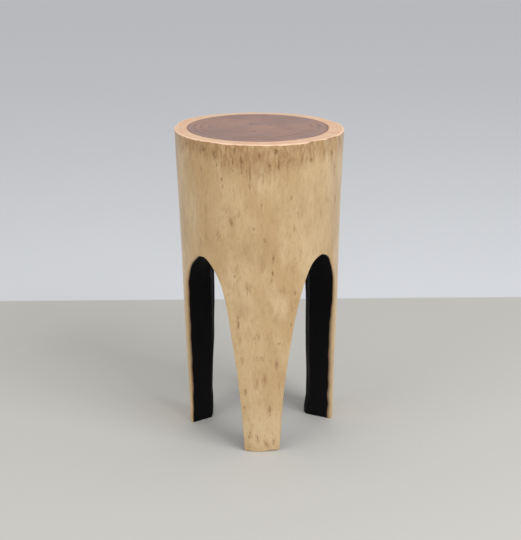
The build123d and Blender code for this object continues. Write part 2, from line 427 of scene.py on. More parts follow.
class Carving:
    """Every surface of the carved log, as points at a leg, a row and a place across."""

    def __init__(self, sizes):
        self.sizes = sizes
        self.arches = ARCHES
        self.low = [ArchSide(a, "low") for a in ARCHES]
        self.high = [ArchSide(a, "high") for a in ARCHES]
        start = FOOT_ROWS[-1] / ARCH_LENGTH
        rest = [1 - (1 - i / ARCH_ROWS) ** ROWS_GATHER for i in range(ARCH_ROWS + 1)]
        self.fractions = [height / ARCH_LENGTH for height in FOOT_ROWS[:-1]]
        self.fractions += [mix(start, 1.0, f) for f in rest]
        self.rows = len(self.fractions)

    def side(self, leg, right):
        """The arch side that bounds a leg: leg 0 stands between arches 0 and 1."""
        return self.low[(leg + 1) % 4] if right else self.high[leg % 4]

    def centre(self, leg, right):
        """Bearing of the arch beside a leg, never decreasing round the log."""
        index = leg + 1 if right else leg
        return self.arches[index % 4]["bearing"] + 360 * (index // 4)

    def cut(self, leg, right, row, radius_at, inset):
        """Bearing, radius and height of a point on a carved face, inset into the wood behind it."""
        side = self.side(leg, right)
        w, z, nw, nz = side.at(self.fractions[row])
        waves = self.sizes.cut_waves / MM * (1 - ease(self.fractions[row], 0.9, 1.0))
        inward = -1 if right else 1
        centre = self.centre(leg, right)
        bearing = centre + inward * degrees(asin(min(w / ARCH_RADIUS, 0.95)))
        height = z
        # the radius, the height and the bearing hang on one another, and settle in three rounds
        for _ in range(3):
            radius = radius_at(bearing, height)
            depth = max(ARCH_RADIUS - radius, -PAST_ARCH_RADIUS)
            share = 1 - (1 - side.share) * depth / (ARCH_RADIUS - BORE_RADIUS)
            tool = waves * swell(radius * 0.8, side.seed * 31, z * 0.45, 17, 6.0)
            across = w * share + (inset + tool) * nw
            height = z - max(depth, 0.0) * CROWN_DROP * nz + (inset + tool) * nz
            if self.fractions[row] <= 0:
                height = 0.0
            bearing = centre + inward * degrees(asin(min(max(across / radius, -0.99), 0.99)))
        return bearing, radius, max(height, 0.0)

    def leg_grid(self, leg, radius_at, insets, columns):
        """Rows of (bearing, height) across a leg, from its left cut to its right cut."""
        ends = []
        for row in range(self.rows):
            left, right = insets(row)
            ends.append((self.cut(leg, False, row, radius_at, left),
                         self.cut(leg, True, row, radius_at, right)))
        crown_left, crown_right = ends[-1][0][2], ends[-1][1][2]
        grid = []
        for fraction, (left, right) in zip(self.fractions, ends):
            line = []
            for i in range(columns + 1):
                place = i / columns
                follow = 1 - ease(min(place, 1 - place), 0.05, 0.5)
                level = fraction * mix(crown_left, crown_right, place)
                height = mix(level, mix(left[2], right[2], place), follow)
                line.append((mix(left[0], right[0], place), height))
            grid.append(line)
        return grid

    def bark(self, bearing, height):
        """Radius of the bark side with this carving's sizes."""
        return bark_radius(bearing, height, self.sizes)

    def pale_widths(self, leg, right, row):
        """Width of the pale eased edge on the bark side and on the carved side."""
        side, fraction = self.side(leg, right), self.fractions[row]
        return side.eased(fraction, "bark"), side.eased(fraction, "cut")

    def at_radius(self, leg, right, row, radius, inset):
        """Point on a carved face at a distance from the log's axis."""
        bearing, _, height = self.cut(leg, right, row, lambda b, h: radius, inset)
        return on_bearing(bearing, radius, height)

    def carved_face(self, leg, right, row, outer, inner, inset, columns):
        """Points on a carved face between two distances from the log's axis."""
        radii = [mix(outer, inner, i / columns) for i in range(columns + 1)]
        return [self.at_radius(leg, right, row, radius, inset) for radius in radii]

    def bark_corner(self, leg, right, row):
        """Start of the black face, the sharp corner, the first bark point and the start's radius."""
        on_bark, on_cut = self.pale_widths(leg, right, row)
        bearing, radius, height = self.cut(leg, right, row, self.bark, 0.0)
        black = self.at_radius(leg, right, row, radius - on_cut, 0.0)
        bare = on_bearing(*self.cut(leg, right, row, self.bark, on_bark))
        return black, on_bearing(bearing, radius, height), bare, radius - on_cut

    def settle(self, point, leg):
        """Draws a foot's edge in towards the middle of its leg, near the floor, more at a worn corner."""
        reach = self.sizes.foot_ease / MM
        if point.z >= reach + DEEPEST_WEAR:
            return point
        bearing = degrees(atan2(point.x, -point.y))
        for centre, half_width, extra in FOOT_WEAR:
            reach += extra * (1 - ease(abs(bearing_gap(bearing, centre)) / half_width, 0.2, 1.0))
        if point.z >= reach:
            return point
        middle = on_bearing((self.centre(leg, False) + self.centre(leg, True)) / 2, FOOT_MIDDLE, point.z)
        drop = 1 - point.z / reach
        amount = reach * (1 - sqrt(max(1 - drop * drop, 0.0)))
        inward = middle - point
        inward.z = 0
        distance = inward.length
        return point + inward * (amount * min(distance / FOOT_EASE_FADES, 1.0) / max(distance, 1e-6))


def rise(line, top, rows, gather=1.0):
    """Rows of (bearing, height) from a line up to a top height, closer together towards the top."""
    steps = [1 - (1 - k / rows) ** gather for k in range(1, rows + 1)]
    return [[(bearing, mix(height, top(bearing), step)) for bearing, height in line] for step in steps]


def rounded(start, corner, end, steps):
    """Points of a rounded corner, both ends included."""
    points = []
    for i in range(steps + 1):
        t = i / steps
        points.append(start * (1 - t) ** 2 + corner * (2 * t * (1 - t)) + end * t ** 2)
    return points


# ---------------------------------------------------------------------------------------------
# Meshes
# ---------------------------------------------------------------------------------------------

class Shape:
    """A mesh in the making: points in millimetres, faces by their points, and painted values."""

    PAINTS = ("fibre", "band", "blush", "browner", "paler", "scorch", "edge", "ring")

    def __init__(self):
        self.bm = bmesh.new()
        self.paints = {name: self.bm.verts.layers.float.new(name) for name in self.PAINTS}

    def point(self, co, **paint):
        """Adds a point with its painted values."""
        vert = self.bm.verts.new(with_top(co) * MM)
        for name, value in paint.items():
            vert[self.paints[name]] = value
        return vert

    def face(self, verts, material=0):
        """Adds a face, and leaves out points that follow themselves."""
        kept = [v for i, v in enumerate(verts) if v is not verts[i - 1]]
        if len(kept) > 2:
            made = self.bm.faces.new(kept)
            made.material_index = material

    def sheet(self, grid, material=0):
        """Quads over rows of points."""
        for low, high in zip(grid, grid[1:]):
            for i in range(len(low) - 1):
                self.face([low[i], low[i + 1], high[i + 1], high[i]], material)

    def weld(self):
        """Joins the points that lie within a hundredth of a millimetre."""
        bmesh.ops.remove_doubles(self.bm, verts=self.bm.verts[:], dist=0.01 * MM)

    def thicken(self, thickness, seen_from):
        """Turns an open sheet into a closed skin; its seen side faces the point seen_from."""
        bm = self.bm
        self.weld()
        bmesh.ops.recalc_face_normals(bm, faces=bm.faces[:])
        bm.normal_update()
        eye = seen_from * MM
        facing = sum((eye - f.calc_center_median()).dot(f.normal) * f.calc_area() for f in bm.faces)
        if facing < 0:
            bmesh.ops.reverse_faces(bm, faces=bm.faces[:])
            bm.normal_update()
        seen = bm.faces[:]
        back = {}
        for v in bm.verts[:]:
            behind = v.co - v.normal * thickness * MM
            behind.z = max(behind.z, min(v.co.z, 0.0))
            back[v] = bm.verts.new(behind)
        rims = []
        for f in seen:
            for loop in f.loops:
                if len(loop.edge.link_faces) == 1:
                    rims.append((loop.vert, loop.link_loop_next.vert))
        for f in seen:
            bm.faces.new([back[v] for v in reversed(f.verts)])
        for a, b in rims:
            bm.faces.new([b, a, back[a], back[b]])

    def finish(self, name, materials, replaced, sharp_over=40.0):
        """Makes the object, with crisp edges where faces meet at more than the given angle."""
        bm = self.bm
        self.weld()
        bmesh.ops.recalc_face_normals(bm, faces=bm.faces[:])
        for f in bm.faces:
            f.smooth = True
        for edge in bm.edges:
            if len(edge.link_faces) == 2 and edge.calc_face_angle() > radians(sharp_over):
                edge.smooth = False
        mesh = bpy.data.meshes.new(name)
        bm.to_mesh(mesh)
        bm.free()
        for material in materials:
            mesh.materials.append(material)
        made = bpy.data.objects.new(name, mesh)
        bpy.context.scene.collection.objects.link(made)
        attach(made, BODY)
        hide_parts(*replaced)
        return made


# ---------------------------------------------------------------------------------------------
# Marks on the bark side
# ---------------------------------------------------------------------------------------------

# Strands of bark left in the wood: bearing, lowest and highest point, half width in millimetres, strength
STRANDS = [
    (-38.9, 480, 497, 7.0, 0.75), (-29.9, 470, 497, 6.0, 0.7), (-28.5, 462, 476, 1.6, 0.9),
    (-25.4, 441, 454, 1.7, 1.0), (-24.7, 428, 446, 2.2, 0.5), (-16.0, 484, 497, 2.6, 1.0),
    (-17.5, 456, 486, 2.4, 0.76), (-11.8, 446, 494, 2.8, 0.82), (-6.3, 412, 490, 2.2, 0.72),
    (-8.4, 434, 484, 2.2, 0.66), (-0.1, 476, 494, 1.8, 0.95), (-0.3, 450, 464, 2.2, 0.55),
    (2.1, 434, 464, 2.0, 0.62), (6.8, 440, 490, 2.4, 0.62), (12.6, 452, 494, 3.0, 0.72),
    (5.7, 466, 478, 1.8, 0.6), (10.1, 484, 497, 3.4, 0.95), (15.1, 442, 474, 1.7, 0.6),
    (1.2, 402, 420, 2.4, 0.55), (20.9, 415, 427, 2.2, 0.75), (-8.9, 403, 414, 3.0, 0.5),
    (-13.6, 388, 406, 3.4, 0.6), (-19.3, 374, 397, 5.0, 0.82), (-17.0, 424, 440, 2.4, 0.5),
    (-38.2, 388, 408, 2.2, 0.55), (-39.2, 373, 388, 2.8, 0.7), (-53.3, 370, 384, 3.4, 0.5),
    (-28.9, 346, 376, 5.0, 0.6), (-40.3, 342, 366, 3.0, 0.55), (-45.2, 334, 352, 2.8, 0.5),
    (-41.2, 452, 464, 3.6, 0.5), (20.0, 462, 488, 5.0, 0.6), (27.9, 466, 488, 4.0, 0.7),
    (35.2, 466, 482, 3.6, 0.85), (38.5, 482, 497, 4.0, 0.6), (47.0, 462, 494, 3.0, 0.55),
    (55.4, 452, 494, 4.0, 0.8), (60.5, 426, 470, 3.0, 0.6), (63.9, 386, 414, 3.6, 0.8),
    (52.0, 398, 414, 2.6, 0.55), (45.5, 378, 400, 2.6, 0.5), (26.2, 386, 404, 3.0, 0.5),
    (23.5, 362, 382, 2.6, 0.55), (-19.3, 336, 352, 3.0, 0.45), (3.7, 336, 372, 9.0, 0.4),
    (8.7, 318, 338, 3.2, 0.5), (28.6, 324, 342, 4.0, 0.5), (-17.6, 318, 332, 2.0, 0.5),
    (8.8, 310, 336, 2.0, 0.65), (8.4, 298, 309, 2.4, 0.9), (7.8, 286, 297, 3.0, 0.6),
    (-8.4, 266, 296, 8.0, 0.55), (15.3, 262, 286, 6.0, 0.5), (22.8, 238, 247, 1.7, 0.95),
    (21.8, 213, 221, 1.7, 0.8), (24.8, 262, 276, 2.6, 0.7), (-16.4, 200, 244, 4.0, 0.6),
    (-13.9, 146, 178, 3.6, 0.55), (-1.8, 192, 214, 6.0, 0.5), (-0.5, 150, 176, 7.0, 0.5),
    (11.3, 136, 172, 4.0, 0.68), (-11.7, 96, 116, 4.0, 0.55), (-12.8, 76, 81, 1.6, 0.95),
    (6.1, 60, 86, 2.4, 0.85), (7.0, 96, 112, 2.2, 0.5), (-9.0, 16, 44, 4.6, 0.58),
    (-3.0, 12, 34, 4.6, 0.58), (3.0, 6, 26, 5.0, 0.62), (9.0, 8, 24, 3.4, 0.6),
    (-6.0, 220, 236, 3.0, 0.4), (96.0, 380, 450, 6.0, 0.6), (130.0, 430, 497, 12.0, 0.7),
    (160.0, 300, 380, 4.0, 0.6), (178.0, 90, 170, 4.0, 0.5), (-160.0, 400, 497, 8.0, 0.7),
    (-120.0, 440, 497, 14.0, 0.6), (-75.0, 440, 496, 7.0, 0.6), (80.0, 440, 497, 6.0, 0.6),
    (-60.0, 340, 420, 3.0, 0.5), (102.0, 300, 330, 3.0, 0.7), (92.0, 150, 190, 3.0, 0.6),
    (-92.0, 210, 250, 3.0, 0.6), (186.0, 300, 318, 4.0, 0.8), (150.0, 420, 440, 2.4, 0.9),
    (-140.0, 360, 378, 2.6, 0.8), (-98.0, 350, 366, 2.2, 0.9),
]

# Reddish patches, where the inner bark coloured the wood, in the same order of values
BLUSHES = [
    (2.6, 112, 143, 4.6, 0.95), (-3.3, 111, 134, 3.2, 0.8), (12.9, 106, 121, 2.0, 0.85),
    (4.4, 5, 17, 4.0, 0.6), (20.0, 352, 366, 3.0, 0.3), (174.0, 210, 240, 4.0, 0.6),
    (-95.0, 120, 140, 3.0, 0.6),
]

# Broad browner and paler patches of the bark side, in the same order of values
BROWNER = [
    (0.0, 430, 510, 80, 0.55), (-2.0, 300, 375, 52, 0.6), (-12.0, 215, 275, 18, 0.6),
    (-60.0, 430, 480, 30, 0.4), (30.0, 320, 480, 75, 0.42), (120.0, 250, 330, 30, 0.5),
    (-130.0, 180, 300, 24, 0.5), (185.0, 330, 420, 40, 0.4),
]
# the paler patches low on each of the four legs are painted light, brightening the feet as light thrown up
# from the floor would; the others are the wood's own tone
PALER = [
    (0.0, -20, 100, 50, 0.9), (14.0, 215, 280, 14, 0.8), (52.0, 400, 450, 24, 0.4),
    (90.0, 20, 120, 30, 0.6), (-90.0, 10, 110, 30, 0.6), (180.0, 20, 140, 30, 0.6),
]

# A mark fades out over half its own half width more, and over this many millimetres more up and down
MARK_SPREADS = 1.5
MARK_FADES = 3.0

# Length along the bark side of one degree round the log
DEGREE_LENGTH = 2.2

# How far down from the top the brown band under the rim reaches, by bearing
RIM_BAND = [
    (-180, 40), (-120, 52), (-70, 30), (-48, 22), (-36, 26), (-26, 36), (-14, 46), (12, 46), (26, 38),
    (31, 36), (37, 30), (60, 30), (100, 44), (140, 30), (180, 40),
]


def marked(marks, bearing, height):
    """Strongest of the marks at a place on the bark side, from 0 to 1; each fades out from its middle."""
    value = 0.0
    for centre, low, high, half_width, strength in marks:
        up = (height - (low + high) / 2) / ((high - low) / 2 + MARK_FADES)
        if abs(up) < 1:
            across = bearing_gap(bearing, centre) * DEGREE_LENGTH / (half_width * MARK_SPREADS)
            value = max(value, strength * (1 - ease(hypot(across, up), 0.1, 1.0)))
    return value


def bark_paint(bearing, height):
    """Values painted on the bark side at a place."""
    return {"fibre": marked(STRANDS, bearing, height), "blush": marked(BLUSHES, bearing, height),
            "browner": marked(BROWNER, bearing, height), "paler": marked(PALER, bearing, height),
            "band": rim_band_at(bearing, height)}


def rim_band_at(bearing, height):
    """How strongly the brown band under the rim shows, from 0 to 1."""
    turn = radians(bearing)
    x, y = 130 * sin(turn), 130 * cos(turn)
    reach = along(RIM_BAND, bearing_gap(bearing, 0))
    reach *= 1 + 0.5 * swell(x, y, 0, 8, 2.0) + 0.3 * swell(x, y, 0, 3, 5.0)
    return 1 - ease(TABLE_HEIGHT - height, reach * 0.3, max(reach * 1.4, 6.0))


# ---------------------------------------------------------------------------------------------
# Materials
# ---------------------------------------------------------------------------------------------

def opaque(colour):
    """The four values that a colour socket takes."""
    return (*colour, 1.0)


def toned(colour, red, green, blue):
    """A colour with its red, green and blue made stronger or weaker."""
    return (colour[0] * red, colour[1] * green, colour[2] * blue, 1.0)


class Finish:
    """A material in the making: its shader, and patterns and tints laid over one another."""

    def __init__(self, name, roughness, specular=0.5):
        self.material = bpy.data.materials.new(name)
        self.material.use_nodes = True
        self.tree = self.material.node_tree
        self.tree.nodes.clear()
        self.shader = self.add_node("ShaderNodeBsdfPrincipled", {
            "Roughness": roughness, "Specular IOR Level": specular})
        self.add_node("ShaderNodeOutputMaterial", {"Surface": self.shader.outputs["BSDF"]})
        self.place = self.add_node("ShaderNodeTexCoord").outputs["Object"]

    def fill(self, node, inputs):
        """Gives each named input of a node its value, or a link from another node's output."""
        for socket, source in inputs.items():
            if isinstance(source, bpy.types.NodeSocket):
                self.tree.links.new(source, node.inputs[socket])
            else:
                node.inputs[socket].default_value = source

    def add_node(self, kind, inputs=None, **settings):
        """Adds a node with its settings, input values and links."""
        made = self.tree.nodes.new(kind)
        for name, value in settings.items():
            setattr(made, name, value)
        self.fill(made, inputs or {})
        return made

    def pattern(self, size, detail, rough, seed, distortion=0.0):
        """Uneven pattern whose grains are size = (x, y, z) millimetres."""
        scaled = self.add_node("ShaderNodeMapping", {
            "Vector": self.place, "Location": (seed, -seed, seed * 2),
            "Scale": tuple(1 / (s * MM) for s in size)})
        clouds = self.add_node("ShaderNodeTexNoise", {
            "Vector": scaled.outputs[0], "Scale": 1.0, "Detail": detail, "Roughness": rough,
            "Distortion": distortion})
        return clouds.outputs["Fac"]

    def growth_rings(self, distance, count, detail, rough):
        """Pattern of about count rings, which changes with the distance from the pith alone."""
        across = self.add_node("ShaderNodeMath", {0: distance, 1: count}, operation="MULTIPLY")
        rings = self.add_node("ShaderNodeTexNoise", {
            "W": across.outputs[0], "Scale": 1.0, "Detail": detail, "Roughness": rough},
            noise_dimensions="1D")
        return rings.outputs["Fac"]

    def strength(self, *masks):
        """How strongly a layer shows, as the product of its masks.

        A mask is a pattern or the name of a paint, then the two values between which it rises, then
        what it rises from and to where that isn't 0 and 1. With nothing after it, it stays as it is.
        """
        product = None
        for source, *rise in masks:
            if isinstance(source, str):
                source = self.add_node("ShaderNodeAttribute", attribute_name=source).outputs["Fac"]
            if rise:
                low, high, least, most = rise if len(rise) == 4 else (*rise, 0.0, 1.0)
                source = self.add_node("ShaderNodeMapRange", {
                    "Value": source, "From Min": low, "From Max": high, "To Min": least, "To Max": most},
                    interpolation_type="SMOOTHSTEP").outputs["Result"]
            if product is None:
                product = source
            else:
                both = self.add_node("ShaderNodeMath", {0: product, 1: source}, operation="MULTIPLY")
                product = both.outputs[0]
        return product

    def lay(self, colour, tint, *masks):
        """Lays a tint over a colour, as strongly as its masks say."""
        mixed = self.add_node("ShaderNodeMix", {"Factor": self.strength(*masks), 6: colour, 7: tint},
                              data_type="RGBA")
        return mixed.outputs[2]

    def relief(self, *layers):
        """Normal of a surface raised by patterns, each with its strength and its height in millimetres."""
        below = {}
        for pattern, strength, height in layers:
            raised = self.add_node("ShaderNodeBump", {
                "Height": pattern, "Strength": strength, "Distance": height * MM, **below})
            below = {"Normal": raised.outputs["Normal"]}
        return below["Normal"]

    def finished(self, inputs):
        """The material, with the last inputs of its shader."""
        self.fill(self.shader, inputs)
        return self.material


# Fine broken fibres of a scraped face turn pale where they are seen edge on
SCRAPED_SHEEN = {"Sheen Weight": 0.3, "Sheen Roughness": 0.4}


def sapwood_colour(wood, colours):
    """Colour of oiled sapwood, and the fibres and strands in it that also stand in relief."""
    light, brown, strand = opaque(colours.sapwood_light), opaque(colours.bark_brown), opaque(colours.fibre)
    # slow tone of the log, patches as wide as a hand
    slow = wood.pattern((60, 60, 150), 3, 0.55, 3)
    colour = wood.lay(opaque(colours.sapwood_shade), opaque(colours.sapwood), (slow, 0.4, 0.62))
    pale = wood.pattern((38, 38, 120), 3, 0.55, 11)
    colour = wood.lay(colour, light, (pale, 0.47, 0.66, 0, 0.75))
    colour = wood.lay(colour, brown, ("browner", 0, 1, 0, 0.5))
    # paler patches: those at the feet are painted light from the floor, the rest the wood's own tone
    colour = wood.lay(colour, light, ("paler", 0, 1, 0, 0.9))
    # soft brown clouds and smears along the grain, 5 to 20 mm wide
    clouds = wood.pattern((13, 13, 30), 5, 0.62, 17, 0.4)
    colour = wood.lay(colour, brown, (clouds, 0.48, 0.74, 0, 0.38))
    smears = wood.pattern((4.6, 4.6, 15), 5, 0.64, 67, 0.5)
    colour = wood.lay(colour, brown, (smears, 0.5, 0.74, 0, 0.42))
    # fibres of the grain, about 1.5 mm apart and 12 mm long: the real ones are finer
    grain = wood.pattern((1.3, 1.3, 12), 4, 0.62, 5)
    colour = wood.lay(colour, brown, (grain, 0.46, 0.72, 0, 0.27))
    light_grain = wood.pattern((2.0, 2.0, 13), 3, 0.6, 23)
    colour = wood.lay(colour, light, (light_grain, 0.5, 0.74, 0, 0.3))
    # specks of about 2 mm
    specks = wood.pattern((1.7, 1.7, 2.4), 3, 0.6, 83)
    colour = wood.lay(colour, brown, (specks, 0.54, 0.72, 0, 0.26))
    # brown band under the rim, in streaks of 2 to 6 mm
    band_streaks = wood.pattern((5.0, 5.0, 14), 5, 0.7, 71, 0.4)
    rim_brown = opaque(colours.rim_brown)
    colour = wood.lay(colour, rim_brown, (band_streaks, 0.36, 0.64, 0.3, 1), ("band", 0, 1, 0, 0.8))
    # faint brown halo round each strand of bark
    halo = wood.pattern((5, 5, 18), 4, 0.62, 37)
    colour = wood.lay(colour, brown, (halo, 0.34, 0.6, 0.3, 1), ("fibre", 0.05, 0.9, 0, 0.46))
    # strands of bark, thin and broken, closer together where the paint is stronger
    painted = wood.add_node("ShaderNodeAttribute", attribute_name="fibre").outputs["Fac"]
    broken = wood.pattern((1.2, 1.2, 7.5), 3, 0.6, 31)
    gathered = wood.add_node("ShaderNodeMath", {0: painted, 1: 0.36, 2: broken}, operation="MULTIPLY_ADD")
    strands = wood.strength((gathered.outputs[0], 0.68, 0.79, 0, 0.66))
    colour = wood.lay(colour, strand, (strands,))
    # single flecks, 2 to 5 mm long, spread thinly over the whole side
    flecks = wood.pattern((1.9, 1.9, 6), 2, 0.5, 41)
    sparse = wood.pattern((26, 26, 40), 2, 0.5, 43)
    colour = wood.lay(colour, strand, (flecks, 0.6, 0.74, 0, 0.4), (sparse, 0.46, 0.66))
    # reddish patches, scraped through in streaks of 2 mm
    scraped = wood.pattern((1.8, 1.8, 9), 4, 0.65, 91)
    colour = wood.lay(colour, opaque(colours.blush), (scraped, 0.38, 0.62, 0.25, 1), ("blush",))
    # pale eased edges, and the browned line beside the char
    colour = wood.lay(colour, light, ("edge", 0, 1, 0, 0.5))
    colour = wood.lay(colour, opaque(colours.scorch), ("scorch", 0, 1, 0, 0.9))
    return colour, grain, strands


def sapwood_material(colours):
    """Debarked sapwood, scraped smooth and oiled: straight vertical grain, brown strands, a soft sheen."""
    wood = Finish("debarked_oiled_sapwood", 0.5)
    colour, grain, strands = sapwood_colour(wood, colours)
    gloss = wood.pattern((9, 9, 50), 3, 0.6, 53)
    facets = wood.pattern((11, 11, 40), 4, 0.55, 61)
    return wood.finished({
        "Base Color": colour, "Roughness": wood.strength((gloss, 0.3, 0.7, 0.44, 0.58)), **SCRAPED_SHEEN,
        "Normal": wood.relief((grain, 0.4, 0.25), (facets, 0.5, 0.8), (strands, 0.4, -0.4))})


def end_sapwood_material(colours):
    """Sawn and sanded sapwood end grain: pale, matt, with faint rings."""
    wood = Finish("sanded_sapwood_end_grain", 0.58)
    base = opaque(colours.end_sapwood)
    deep = toned(base, 0.8, 0.64, 0.5)
    rose = toned(base, 0.93, 0.78, 0.76)
    # four or five rings over its width, stained brown along a part of their length
    distance = wood.add_node("ShaderNodeAttribute", attribute_name="ring").outputs["Fac"]
    rings = wood.growth_rings(distance, 22, 3, 0.6)
    stained = wood.pattern((34, 34, 34), 3, 0.6, 7)
    colour = wood.lay(base, deep, (rings, 0.46, 0.6, 0, 0.55), (stained, 0.42, 0.62, 0.1, 1))
    # rosy flushes of about 20 mm and a brown mottle of about 7 mm
    flush = wood.pattern((22, 22, 22), 3, 0.6, 57)
    colour = wood.lay(colour, rose, (flush, 0.46, 0.66, 0, 0.6))
    mottle = wood.pattern((7, 7, 7), 3, 0.6, 27)
    colour = wood.lay(colour, deep, (mottle, 0.5, 0.74, 0, 0.35))
    # a deeper line beside the heartwood
    colour = wood.lay(colour, deep, (distance, 1, 1.05, 0.4, 0))
    # open pores of about 1 mm: the real ones are finer
    pores = wood.pattern((0.9, 0.9, 4), 2, 0.6, 13)
    colour = wood.lay(colour, deep, (pores, 0.62, 0.74, 0, 0.22))
    # the eased edge of the rim is painted paler and bluer: a painted highlight along it
    colour = wood.lay(colour, toned(base, 1.14, 1.16, 1.22), ("edge", 0, 1, 0, 0.8))
    return wood.finished({"Base Color": colour, "Normal": wood.relief((pores, 0.2, 0.1))})


def heartwood_material(colours):
    """Sawn and sanded heartwood end grain: mauve brown, growth rings round the pith, open pores."""
    wood = Finish("sanded_heartwood_end_grain", 0.5)
    base, line, grey, rose = (opaque(colour) for colour in (
        colours.end_heartwood, colours.heartwood_line, colours.heartwood_grey, colours.heartwood_rose))
    distance = wood.add_node("ShaderNodeAttribute", attribute_name="ring").outputs["Fac"]
    waver = wood.pattern((30, 30, 30), 3, 0.55, 3)
    wavering = wood.add_node("ShaderNodeMath", {0: waver, 1: 0.05, 2: distance},
                             operation="MULTIPLY_ADD").outputs[0]
    # colour drifts from one group of years to the next and over the disc
    groups = wood.growth_rings(wavering, 7, 2, 0.6)
    colour = wood.lay(base, grey, (groups, 0.42, 0.6, 0, 0.8))
    zone = wood.pattern((60, 46, 60), 2, 0.5, 19)
    colour = wood.lay(colour, rose, (zone, 0.39, 0.67, 0, 0.65))
    # years: bands of about 5 mm, clear in some places and lost in others, and faint lines of about 2 mm
    years = wood.growth_rings(wavering, 17, 2, 0.6)
    clear = wood.pattern((44, 44, 44), 2, 0.5, 37)
    colour = wood.lay(colour, line, (years, 0.44, 0.6, 0, 0.62), (clear, 0.38, 0.56, 0.15, 1),
                      (distance, 0.3, 0.6, 0.15, 1))
    faint = wood.growth_rings(wavering, 52, 3, 0.65)
    colour = wood.lay(colour, line, (faint, 0.48, 0.66, 0, 0.26))
    # open pores of about 1 mm, and a darker line where the heartwood ends
    pores = wood.pattern((1.1, 1.1, 4), 2, 0.6, 29)
    colour = wood.lay(colour, line, (pores, 0.58, 0.74, 0, 0.35))
    colour = wood.lay(colour, line, (distance, 0.965, 0.995, 0, 0.55))
    return wood.finished({"Base Color": colour, "Normal": wood.relief((pores, 0.25, 0.12))})


def inner_wood_material(colours):
    """Bare heartwood under the stain, seen only at the feet: rough from the saw, in dull streaks."""
    wood = Finish("sawn_heartwood", 0.6)
    grain = wood.pattern((1.6, 1.6, 50), 3, 0.6, 3)
    colour = wood.lay(opaque(colours.end_heartwood), opaque(colours.heartwood_line), (grain, 0.4, 0.7))
    return wood.finished({"Base Color": colour})


def stain_material(colours):
    """Wood charred with a torch, brushed and stained black: nearly matt, faint grain left in relief."""
    wood = Finish("charred_black_stained_wood", 0.6, 0.09)
    black = opaque(colours.stain)
    worn = toned(black, 2.2, 2.2, 2.2)
    grain = wood.pattern((2.4, 2.4, 70), 4, 0.6, 3)
    rubbed = wood.pattern((20, 20, 60), 3, 0.55, 9)
    return wood.finished({
        "Base Color": wood.lay(black, worn, (grain, 0.5, 0.75), (rubbed, 0.4, 0.7)),
        "Roughness": wood.strength((rubbed, 0.3, 0.7, 0.5, 0.7)),
        "Normal": wood.relief((grain, 0.5, 0.4), (rubbed, 0.5, 1.2))})


def knot_material(colours):
    """Pin knots sanded flush: a small brown eye in a ring of turned grain, as pale as the wood round it."""
    wood = Finish("sanded_pin_knot", 0.5)
    knot = opaque(colours.knot)
    colour, grain, _ = sapwood_colour(wood, colours)
    uneven = wood.pattern((2.5, 2.5, 2.5), 2, 0.5, 47)
    # the eye, then the groove round it
    colour = wood.lay(colour, knot, ("ring", 0.18, 0.4, 0.95, 0), (uneven, 0.3, 0.55, 0.6, 1))
    colour = wood.lay(colour, knot, ("ring", 0.46, 0.6), ("ring", 0.62, 0.8, 1, 0),
                      (uneven, 0.34, 0.6, 0.25, 0.85))
    return wood.finished({"Base Color": colour, **SCRAPED_SHEEN, "Normal": wood.relief((grain, 0.4, 0.25))})


def filler_material(colours):
    """Checks filled with dark wax and wood dust: dull and speckled."""
    wax = Finish("dark_wax_filler", 0.55)
    speckle = wax.pattern((1.2, 1.2, 1.2), 3, 0.6, 3)
    colour = wax.lay(opaque(colours.filler), opaque(colours.heartwood_line), (speckle, 0.4, 0.7))
    return wax.finished({"Base Color": colour})


# ---------------------------------------------------------------------------------------------
# Pieces
# ---------------------------------------------------------------------------------------------

# The eased rim, painted pale as a highlight: how much further it reaches over the top than down the side,
# its least height, the most that it loses over a flat place, and the depth of a place where it loses that
# much
RIM_REACH = 1.15
LEAST_RIM = 0.35
RIM_LOSS = 0.6
FULL_LOSS_DEPTH = 2.5


def rim_ease_at(bearing, sizes):
    """Height of the sanded edge under the top, painted pale as a highlight, uneven from chips and old bark.
    """
    base = sizes.rim_ease / MM
    turn = radians(bearing)
    x, y = 132 * sin(turn), 132 * cos(turn)
    height = base * (1 + 0.45 * swell(x, y, 0, 14, 2.0) + 0.25 * swell(x, y, 0, 5, 6.0))
    for centre, half_width, depth, _ in RIM_FLATS:
        across = abs(bearing_gap(bearing, centre)) / half_width
        height *= 1 - RIM_LOSS * (1 - ease(across, 0.6, 1.1)) * min(depth / FULL_LOSS_DEPTH, 1.0)
    return max(height, LEAST_RIM)


def in_the_wood(row):
    """Insets of a leg's two cuts that lie under the black stain."""
    return STAIN_SKIN, STAIN_SKIN


def sapwood_strip(carving, leg, right, row):
    """Points from the heartwood out over a carved face and round the pale edge to the bark."""
    black, corner, bare, radius = carving.bark_corner(leg, right, row)
    inner = carving.cut(leg, right, row, heart_radius, STAIN_SKIN)[1]
    hidden = carving.carved_face(leg, right, row, inner, radius, STAIN_SKIN, HIDDEN_SAPWOOD_COLUMNS)
    return hidden, rounded(black, corner, bare, EDGE_COLUMNS)


